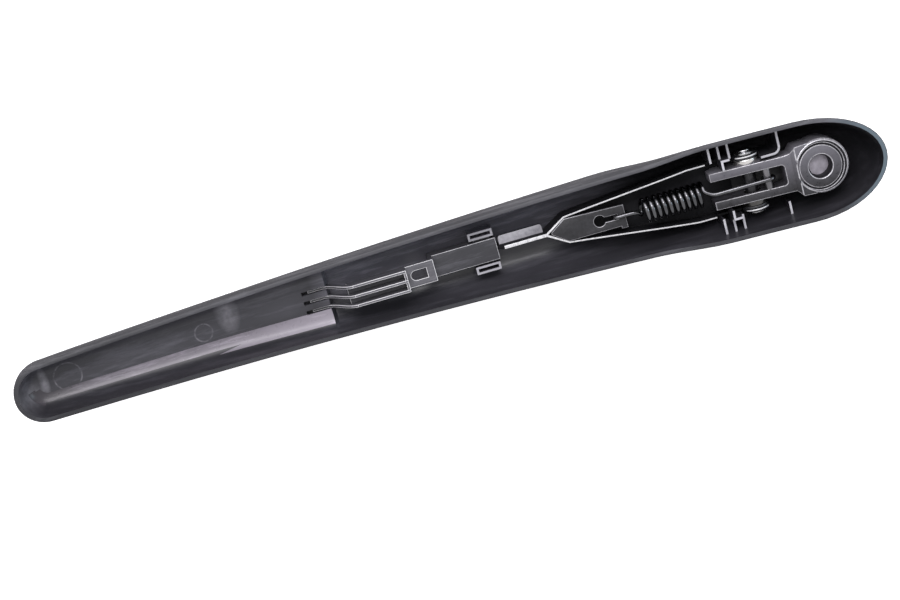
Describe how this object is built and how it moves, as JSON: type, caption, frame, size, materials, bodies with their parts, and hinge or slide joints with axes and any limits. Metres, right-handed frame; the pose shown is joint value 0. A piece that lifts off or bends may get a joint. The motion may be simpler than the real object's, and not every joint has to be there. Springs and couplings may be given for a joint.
{
  "type": "wiper arm",
  "caption": "Rear windscreen wiper arm seen from its open underside, with a moulded bowed cover, pivoting cast mounting head, tension spring and blade lever",
  "frame": {"origin": "on the wiper spindle's axis, inside the tapered spindle socket of the mounting head, 2.5 mm below the socket's mouth", "axes": "+X from the arm's tip to its mounting head, +Z out of the open underside towards the glass, +Y across the arm"},
  "size_m": [0.4069, 0.0478, 0.0408],
  "materials": {
    "cover_plastic": "fine grained black moulding",
    "plated_steel": "black coated sheet steel",
    "lever_plastic": "glass filled dark grey moulding",
    "spring_steel": "black phosphated spring wire, lightly oiled",
    "coated_casting": "dark coated die casting",
    "pin_steel": "plain steel",
    "bush_brass": "plain, dulled",
    "washer_plastic": "plain black"
  },
  "bodies": {
    "arm": {"arm_shell": "cover_plastic", "retainer": "plated_steel", "hook_plate": "plated_steel", "blade_lever": "lever_plastic", "tension_spring": "spring_steel", "pivot_pin": "pin_steel", "washer_upper": "washer_plastic", "washer_lower": "washer_plastic", "retaining_ring": "pin_steel"},
    "head": {"mounting_head": "coated_casting", "pivot_bush_upper": "bush_brass", "pivot_bush_lower": "bush_brass", "spring_pin": "pin_steel"}
  },
  "joints": [
    {"name": "head_pivot", "type": "hinge", "parent": "arm", "child": "head", "pos_m": [-0.0308, 0, -0.0083], "axis": [0, 1, 0], "range_deg": [0, 12], "stiffness_Nm_per_rad": 0.8, "springref_deg": -20.05, "deforming": ["tension_spring"]}
  ]
}
